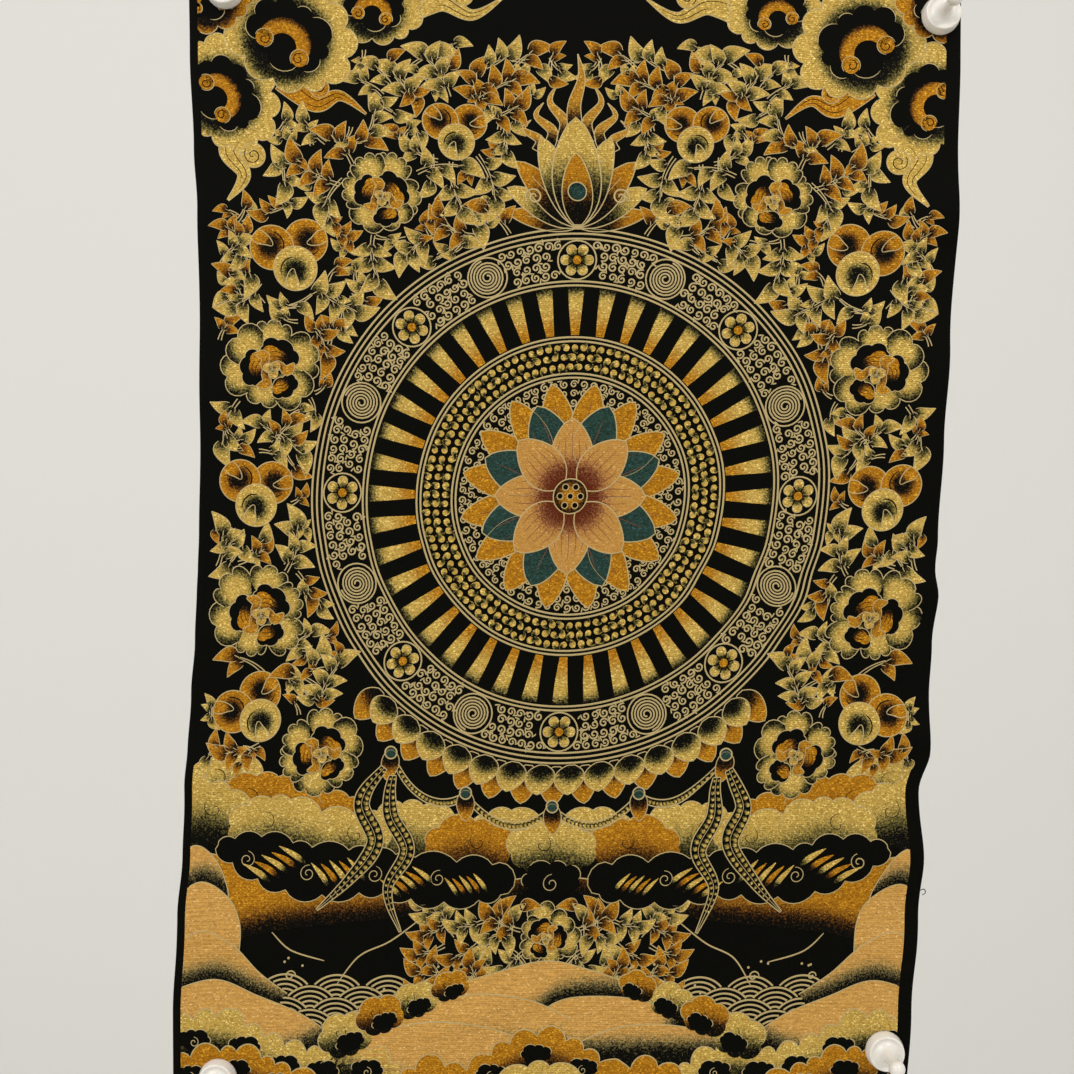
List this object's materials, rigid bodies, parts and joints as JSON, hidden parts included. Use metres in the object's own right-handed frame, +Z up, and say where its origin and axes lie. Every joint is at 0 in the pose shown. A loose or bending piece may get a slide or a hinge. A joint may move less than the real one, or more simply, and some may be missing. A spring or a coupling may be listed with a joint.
{
  "type": "woven thangka panel with push-pin magnets",
  "caption": "Upright black brocade wall panel woven in gold with a mandala and foliage, held flat by a white push-pin magnet at each corner.",
  "frame": {"origin": "middle of the panel's top edge, level with its upper corner, on the wall plane behind the cloth", "axes": "+Z up along the panel's height, +Y into the wall, front facing -Y, +X to the viewer's right"},
  "size_m": [0.3072, 0.0205, 0.4515],
  "materials": {
    "brocade": "black satin ground with metallic gold, amber and tan wefts",
    "white_plastic": "smooth moulded gloss"
  },
  "bodies": {
    "root": {"woven_panel": "brocade", "magnet_top_left": "white_plastic", "magnet_top_right": "white_plastic", "magnet_bottom_left": "white_plastic", "magnet_bottom_right": "white_plastic"}
  },
  "joints": []
}
